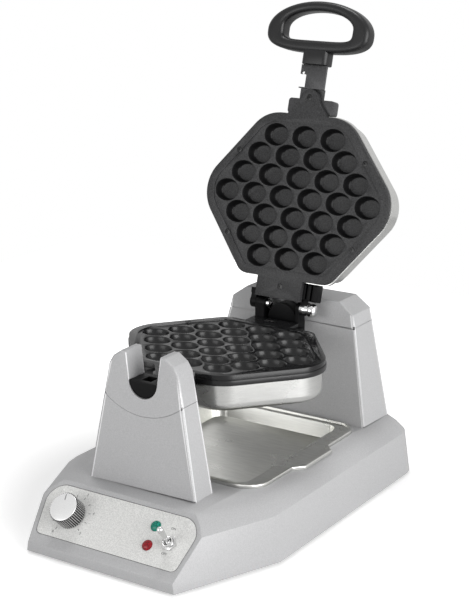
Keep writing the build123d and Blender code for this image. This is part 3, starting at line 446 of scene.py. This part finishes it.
eggPlates = {
    "rows": (3, 4, 5, 6, 5, 4, 3), "pitch": 30.7 * mm, "rowPitch": 19.3 * mm,
    "mouth": (26.4 * mm, 21.4 * mm), "web": -1.3 * mm, "depth": 9.76 * mm, "corners": 44,
    "plugBottom": -12.0 * mm, "plugShare": 1.01,
    # the rim is rounded above this height and outside this share of an egg's mouth
    "rimRounding": 0.6 * mm, "rimLow": -4.0 * mm, "rimShare": 1.2,
    # a hollow's wall is what lies between these shares of the mouth and leans more steeply than this, and takes
    # the painted shade
    "wall": (0.8, 1.0), "steep": 0.75,
    # share of the mouth, and share of the depth, from the flared lip down: a bowl in the lower plate, and
    # in the lid a cup with steep walls and a nearly flat floor
    "bowl": ((1.12, -0.09), (1.035, 0.0), (1.0, 0.035), (0.975, 0.10), (0.94, 0.22), (0.89, 0.36),
             (0.82, 0.5), (0.73, 0.64), (0.60, 0.78), (0.47, 0.88), (0.32, 0.95), (0.15, 0.99)),
    "cup": ((1.12, -0.09), (1.035, 0.0), (1.0, 0.035), (0.98, 0.10), (0.96, 0.28), (0.935, 0.5),
            (0.895, 0.72), (0.84, 0.87), (0.77, 0.95), (0.68, 0.985), (0.45, 1.0), (0.2, 1.0)),
}


def eggPlaces():
    rows = eggPlates["rows"]
    for row, count in enumerate(rows):
        for column in range(count):
            x = (column - (count - 1) / 2) * eggPlates["pitch"]
            yield x, (row - (len(rows) - 1) / 2) * eggPlates["rowPitch"]


def eggShare(spot):
    # how far out of the nearest egg a point lies: 1 is its mouth
    width, length = eggPlates["mouth"]
    nearest = min(((spot.x - x) / width) ** 2 + ((spot.y - y) / length) ** 2 for x, y in eggPlaces())
    return 2 * nearest ** 0.5


def roundRim(plate, matrix):
    # only the edges that show, away from the eggs, whose mouths are flared already
    editAll(plate)
    bpy.ops.mesh.select_mode(type="EDGE")
    bpy.ops.mesh.select_all(action="DESELECT")
    bpy.ops.mesh.edges_select_sharp(sharpness=radians(60))
    leaveEdit()
    inverse = matrix.inverted()
    spots = [inverse @ vertex.co for vertex in plate.data.vertices]
    for edge in plate.data.edges:
        ends = [spots[i] for i in edge.vertices]
        edge.select = (edge.select and min(end.z for end in ends) > eggPlates["rimLow"]
                       and min(eggShare(end) for end in ends) > eggPlates["rimShare"])
    bpy.ops.object.mode_set(mode="EDIT")
    bpy.ops.mesh.bevel(offset=eggPlates["rimRounding"], segments=2, affect="EDGES", clamp_overlap=True)
    leaveEdit()


def addEggPlug():
    # fills the CAD's hollow, so that one with a flared mouth can be cut
    low, high = eggPlates["plugBottom"], eggPlates["web"]
    plug = addCylinder(eggPlates["corners"], 0.5, high - low, (0, 0, (high + low) / 2))
    width, length = eggPlates["mouth"]
    plug.scale = (width * eggPlates["plugShare"], length * eggPlates["plugShare"], 1)
    return placed(plug)


def addEggCutter(profile):
    depth = eggPlates["depth"]
    share, height = profile[0][0], eggPlates["web"] - profile[0][1] * depth
    bpy.ops.mesh.primitive_circle_add(vertices=eggPlates["corners"], radius=0.5, fill_type="NGON")
    cutter = bpy.context.object
    editAll(cutter)
    width, length = eggPlates["mouth"]
    bpy.ops.transform.resize(value=(width * share, length * share, 1), center_override=(0, 0, 0))
    bpy.ops.transform.translate(value=(0, 0, height))
    for nextShare, sink in profile[1:]:
        drop = eggPlates["web"] - sink * depth - height
        bpy.ops.mesh.extrude_region_move(TRANSFORM_OT_translate={"value": (0, 0, drop)})
        height += drop
        ratio = nextShare / share
        bpy.ops.transform.resize(value=(ratio, ratio, 1), center_override=(0, 0, height))
        share = nextShare
    leaveEdit()
    faceOutward(cutter)
    return cutter


def repeated(first, places, matrix, name):
    # copies of the first piece at all the places, joined into one mesh
    copies = []
    for x, y in places:
        copy = copyMesh(first, name)
        copy.data.transform(matrix @ Matrix.Translation((x, y, 0)))
        copies.append(copy)
    bpy.data.objects.remove(first)
    whole = joined(copies, name)
    faceOutward(whole)
    return whole


def shadeWalls(plate, matrix):
    # the steep walls of the hollows get painted shade, darker than their floors
    inverse = matrix.inverted()
    low, high = eggPlates["wall"]

    def onWall(face):
        lean = abs((inverse.to_3x3() @ face.normal).z)
        return low < eggShare(inverse @ face.center) < high and lean < eggPlates["steep"]

    paintFaces(plate, paintedWallShade, onWall)


for node, matrix, name, shape in (("lower_plate", toGrid, "lowerEggPlate", "bowl"),
                                  ("upper_plate", toUpperHalf, "upperEggPlate", "cup")):
    plate = copyNode(node, name)
    cutWith(plate, repeated(addEggPlug(), eggPlaces(), matrix, "eggPlugs"), "UNION")
    cutWith(plate, repeated(addEggCutter(eggPlates[shape]), eggPlaces(), matrix, "eggCutters"))
    roundRim(plate, matrix)
    hand(plate, node, newFinish.get(node), smooth=38)
    if node == "upper_plate":
        # the lid's hollow walls get painted shade
        shadeWalls(plate, matrix)
    print(name, len(plate.data.polygons), "faces")


# Screws that hold the plates: flush heads with a hexagon socket, coated with the plate

plateScrew = {
    "headRadius": 2.6 * mm, "shankRadius": 1.5 * mm, "headTop": -0.55 * mm, "headDepth": 1.0 * mm,
    "socketRadius": 1.35 * mm, "socketDepth": 0.7 * mm, "shankEnd": -9.0 * mm, "overlap": 0.1 * mm,
    "edge": 0.25 * mm, "across": 68.5 * mm, "along": 40.0 * mm, "tab": (-1.5 * mm, 84.0 * mm),
    "tongue": (0.0, -96.0 * mm), "headCorners": 32, "shankCorners": 20,
}
hexagon = 6         # corners of the socket in a screw's head


def addPlateScrew():
    top, depth, end = plateScrew["headTop"], plateScrew["headDepth"], plateScrew["shankEnd"]
    screw = addCylinder(plateScrew["headCorners"], plateScrew["headRadius"], depth, (0, 0, top - depth / 2))
    roundEdges(screw, plateScrew["edge"])
    length = top - depth - end
    centre = (0, 0, end + length / 2 + plateScrew["overlap"])
    shank = addCylinder(plateScrew["shankCorners"], plateScrew["shankRadius"], length, centre)
    cutWith(screw, shank, "UNION")
    socket = addCylinder(hexagon, plateScrew["socketRadius"], 2 * plateScrew["socketDepth"], (0, 0, top))
    cutWith(screw, socket)
    return screw


across, along = plateScrew["across"], plateScrew["along"]
screwPlaces = [(-across, -along), (-across, along), (across, -along), (across, along),
               plateScrew["tab"], plateScrew["tongue"]]
for node, matrix, name in (("lower_plate_screws", toGrid, "lowerScrews"),
                           ("upper_plate_screws", toUpperHalf, "upperScrews")):
    hand(repeated(addPlateScrew(), screwPlaces, matrix, name), node, nonStick)
print("plate screws done")


# The lid's handle grip: a rounded ring with a straight bar, on a collar

handleGrip = {
    # half width, centre, reach down to the bar, reach up, squareness
    "outer": (54.6 * mm, 157.0 * mm, 19.3 * mm, 28.8 * mm, 3.0),
    "inner": (37.0 * mm, 160.5 * mm, 11.6 * mm, 16.0 * mm, 5.5),
    "shift": -1.2 * mm, "low": -3.8 * mm, "thickness": 17.6 * mm, "edge": 5.2 * mm, "points": 96,
    # width, start, end and depth
    "collar": (27.0 * mm, 126.4 * mm, 140.0 * mm, 17.0 * mm), "collarEdge": 5.0 * mm, "collarEnd": 0.8 * mm,
}


def ringPoint(outline, turn):
    # an ellipse towards the arch, and a squared ellipse towards the bar
    half, centre, down, up, square = outline
    c, s = cos(turn), sin(turn)
    power = 1.0 if s > 0 else 2 / square
    x = half * abs(c) ** power * (1 if c >= 0 else -1)
    y = (up if s > 0 else down) * abs(s) ** power * (1 if s >= 0 else -1)
    return x + handleGrip["shift"], -(centre + y)


def addGrip():
    loops = []
    for outline in (handleGrip["outer"], handleGrip["inner"]):
        bpy.ops.mesh.primitive_circle_add(vertices=handleGrip["points"], fill_type="NOTHING")
        ring = bpy.context.object
        for i, vertex in enumerate(ring.data.vertices):
            x, y = ringPoint(outline, 2 * pi * i / handleGrip["points"])
            vertex.co = (x, y, handleGrip["low"])
        loops.append(ring)
    grip = joined(loops, "handleGrip")
    editAll(grip)
    bpy.ops.mesh.bridge_edge_loops()
    bpy.ops.mesh.select_all(action="SELECT")
    bpy.ops.mesh.extrude_region_move(TRANSFORM_OT_translate={"value": (0, 0, handleGrip["thickness"])})
    leaveEdit()
    faceOutward(grip)
    roundEdges(grip, handleGrip["edge"], segments=6, angle=50)
    width, start, end, depth = handleGrip["collar"]
    middle = handleGrip["low"] + handleGrip["thickness"] / 2
    collar = addBlock((width, end - start, depth), (0, -(start + end) / 2, middle))
    chooseEdges(collar, lambda a, b: max(abs(a.x - b.x), abs(a.z - b.z)) < mergeDistance)
    bpy.ops.mesh.bevel(offset=handleGrip["collarEdge"], segments=5, affect="EDGES")
    leaveEdit()
    roundEdges(collar, handleGrip["collarEnd"], segments=2, angle=60)
    cutWith(grip, collar, "UNION")
    return placed(grip, toLid)


hand(addGrip(), "handle_grip", smooth=40)
print("handle grip done")


# Hinge pins: a domed head at the right, and a screw with a socket at the left

hingePins = {"leftEnd": -14.7 * mm, "socketRadius": 2.3 * mm, "socketDepth": 2.2 * mm, "edge": 0.35 * mm}
pins = copyNode("hinge_pins", "hingePinsPiece")
roundEdges(pins, hingePins["edge"])
cutWith(pins, addCylinder(hexagon, hingePins["socketRadius"], 2 * hingePins["socketDepth"],
                          (hingePins["leftEnd"], hingePlace.y, hingePlace.z), (0, pi / 2, 0)))
hand(pins, "hinge_pins")


# Control panel: dial, lamps, toggle and the printed marks

dial = {
    "faceRadius": 12.6 * mm, "faceLow": 14.9 * mm, "faceHigh": 15.9 * mm, "edge": 0.45 * mm, "rings": 9,
    "ringStep": 0.03 * mm, "ribTop": 13.2 * mm, "ribEdge": 0.08 * mm,
    "pointer": (0.8 * mm, 5.2 * mm, 0.06 * mm), "pointerStart": 6.2 * mm, "pointerTurn": 12.0,
    "pointerEdge": 0.02 * mm, "corners": 72,
}


def onRib(face):
    out = face.center - dialPlace
    return (out - panelNormal * out.dot(panelNormal)).length > dial["ribTop"]


knob = copyNode("dial_knob", "dialKnobPiece")
roundEdges(knob, dial["ribEdge"], segments=1, angle=40)
hand(knob, "dial_knob")
# the rib tops get the painted highlight
paintFaces(knob, ribHighlightMetal, onRib)

face = addCylinder(dial["corners"], dial["faceRadius"], dial["faceHigh"] - dial["faceLow"],
                   (0, 0, (dial["faceHigh"] + dial["faceLow"]) / 2))
face.name = "dialFacePiece"
pick(face)
for polygon in face.data.polygons:
    polygon.select = polygon.normal.z > 0.9
bpy.ops.object.mode_set(mode="EDIT")
bpy.ops.mesh.select_mode(type="FACE")
for ring in range(dial["rings"]):            # spun rings, each a shallow step
    step = dial["ringStep"] * (-1) ** ring
    bpy.ops.mesh.inset(thickness=dial["faceRadius"] / (dial["rings"] + 2), depth=step)
leaveEdit()
roundEdges(face, dial["edge"], segments=3, angle=50)
hand(placed(face, onPanel(0, 0)), "dial_face", spunFace)

pointer = addBlock(dial["pointer"], (0, dial["pointerStart"] + dial["pointer"][1] / 2, dial["faceHigh"]))
roundEdges(pointer, dial["pointerEdge"], segments=1)
pointer.name = "dialPointer"
turn = Matrix.Rotation(radians(dial["pointerTurn"]), 4, "Z")
hand(placed(pointer, onPanel(0, 0) @ turn), "dial_face", markInk, replace=False)

lamps = {"segments": 14, "rings": 8, "radius": 4.8 * mm, "dome": 2.3 * mm, "barrel": 4.0 * mm,
         "barrelDepth": 11.8 * mm, "barrelCorners": 24, "overlap": 0.2 * mm}


def addLamp(node, name):
    bpy.ops.mesh.primitive_uv_sphere_add(segments=lamps["segments"], ring_count=lamps["rings"],
                                         radius=lamps["radius"])
    lens = bpy.context.object
    editAll(lens)
    bpy.ops.mesh.bisect(plane_co=(0, 0, 0), plane_no=(0, 0, 1), clear_inner=True, use_fill=True)
    bpy.ops.mesh.select_all(action="SELECT")
    bpy.ops.transform.resize(value=(1, 1, lamps["dome"] / lamps["radius"]), center_override=(0, 0, 0))
    leaveEdit()
    centre = (0, 0, -lamps["barrelDepth"] / 2 + lamps["overlap"])
    cutWith(lens, addCylinder(lamps["barrelCorners"], lamps["barrel"], lamps["barrelDepth"], centre), "UNION")
    faceOutward(lens)
    lens.name = name
    low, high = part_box(node)              # only its place on the panel is taken from the CAD lamp's box
    spot = (low + high) / 2 - dialPlace
    hand(placed(lens, onPanel(spot.x, spot.dot(upSlope))), node, smooth=5)


for node, name in (("ready_lamp", "readyLampLens"), ("power_lamp", "powerLampLens")):
    addLamp(node, name)

# The threaded bush stands out of the panel, and the black case is behind it
toggle = {"edge": 0.3 * mm, "bushStart": -1.5 * mm}
switch = copyNode("switch_body", "toggleBodyPiece")
roundEdges(switch, toggle["edge"])
hand(switch, "switch_body")
paintFaces(switch, chrome, lambda face: (face.center - dialPlace).dot(panelNormal) > toggle["bushStart"])

marks = {
    "tickRadius": 17.2 * mm, "tick": (0.45 * mm, 2.2 * mm), "ticks": 11, "start": 150.0, "end": -130.0,
    "numberRadius": 21.2 * mm, "numberSize": 3.2 * mm, "lift": 0.03 * mm, "ink": 0.02 * mm,
    "on": (99.6 * mm, 11.8 * mm), "off": (101.1 * mm, -10.4 * mm), "wordSize": 3.0 * mm,
    "numberEvery": 2, "curveSteps": 3,
}


def addWord(text, size, matrix):
    bpy.ops.object.text_add()
    word = bpy.context.object
    word.data.body = text
    word.data.size = size
    word.data.align_x, word.data.align_y = "CENTER", "CENTER"
    word.data.extrude = marks["ink"]
    word.data.resolution_u = marks["curveSteps"]
    pick(word)
    bpy.ops.object.convert(target="MESH")
    return placed(bpy.context.object, matrix)


printed = []
width, length = marks["tick"]
radius = marks["numberRadius"]
for i in range(marks["ticks"]):
    angle = radians(marks["start"] + (marks["end"] - marks["start"]) * i / (marks["ticks"] - 1))
    tick = addBlock((width, length, marks["ink"] * 2), (0, marks["tickRadius"], 0))
    printed.append(placed(tick, onPanel(0, 0, marks["lift"]) @ Matrix.Rotation(angle, 4, "Z")))
    if i % marks["numberEvery"] == 0:
        spot = onPanel(-radius * sin(angle), radius * cos(angle), marks["lift"])
        printed.append(addWord(str(i // marks["numberEvery"]), marks["numberSize"], spot))
for word in ("on", "off"):
    printed.append(addWord(word.upper(), marks["wordSize"], onPanel(*marks[word], marks["lift"])))
hand(joined(printed, "panelMarks"), "control_plate", markInk, replace=False)
print("control panel done")


# Floor, light and camera

studio = {
    "floorSize": 1.5, "floorColour": "#f2f2f2", "floorRoughness": 0.9,
    # what the camera adds to the floor near the machine and far from it, and between which distances: less near
    # it, a painted shadow round the machine
    "floorLift": (0.36, 1.0), "liftReach": (0.18, 0.34),
    # how bright the surroundings are as a light, and how bright they look in a reflection
    "world": 0.17, "mirrored": 0.80,
    # place, size and power of each soft light, and the point they all face
    "key": ((1.81, -0.40, 0.55), 1.6, 42.0),
    "fill": ((-0.35, -0.98, 0.28), 0.7, 3.9),
    "top": ((-0.20, 0.30, 1.80), 0.5, 9.0),
    "aim": (0, 0, 0.15),
}

bpy.ops.mesh.primitive_plane_add(size=studio["floorSize"], location=(0, 0, 0))
floor = bpy.context.object
floor.name = "studioFloor"
# Matt pale floor, lifted to white for the camera away from the machine and less near it, so that a painted shadow
# joins the real one round the machine
floorPaint, floorShader = newMaterial("paleFloor", studio["floorColour"], studio["floorRoughness"],
                                      Specular_IOR_Level=0.0, Emission_Color=(1, 1, 1, 1))
rays = addNode(floorPaint, "ShaderNodeLightPath")
place = addNode(floorPaint, "ShaderNodeTexCoord")
reach = addNode(floorPaint, "ShaderNodeVectorMath", {0: (place, "Object")}, operation="LENGTH")
paler = between(floorPaint, (reach, "Value"), *studio["floorLift"], *studio["liftReach"])
lift = addNode(floorPaint, "ShaderNodeMath", {0: (rays, "Is Camera Ray"), 1: (paler, "Result")},
               operation="MULTIPLY")
floorPaint.node_tree.links.new(lift.outputs[0], floorShader.inputs["Emission Strength"])
setMaterial(floor, floorPaint)

world = bpy.data.worlds.new("studioWorld")
bpy.context.scene.world = world
world.use_nodes = True
background = world.node_tree.nodes["Background"]
background.inputs["Color"].default_value = (1, 1, 1, 1)
rays = addNode(world, "ShaderNodeLightPath")
mirrored = between(world, (rays, "Is Glossy Ray"), studio["world"], studio["mirrored"])
# The camera sees a white background, and only the reflections and the light take the other strengths
seen = addNode(world, "ShaderNodeMath", {0: (rays, "Is Camera Ray"), 1: (mirrored, "Result")},
               operation="MAXIMUM")
world.node_tree.links.new(seen.outputs[0], background.inputs["Strength"])


def addSoftbox(name, place, size, power):
    bpy.ops.object.light_add(type="AREA", location=place)
    lamp = bpy.context.object
    lamp.name = name
    lamp.data.size = size
    lamp.data.energy = power
    lamp.rotation_euler = (Vector(studio["aim"]) - Vector(place)).to_track_quat("-Z", "Y").to_euler()


for name in ("key", "fill", "top"):
    addSoftbox(name + "Softbox", *studio[name])

view = {"place": (0.7263, -1.0951, 0.5657), "azimuth": 33.08, "elevation": 15.92, "lens": 92.2,
        "sensorWidth": 36, "clipEnd": 50}
camera = bpy.data.objects.new("camera", bpy.data.cameras.new("camera"))
bpy.context.scene.collection.objects.link(camera)
bpy.context.scene.camera = camera
azimuth, elevation = radians(view["azimuth"]), radians(view["elevation"])
toCamera = Vector((sin(azimuth) * cos(elevation), -cos(azimuth) * cos(elevation), sin(elevation)))
camera.location = view["place"]
camera.rotation_euler = (-toCamera).to_track_quat("-Z", "Y").to_euler()
camera.data.lens = view["lens"]
camera.data.sensor_width = view["sensorWidth"]
camera.data.clip_end = view["clipEnd"]
bpy.context.scene.view_settings.view_transform = "Standard"
print("studio ready")
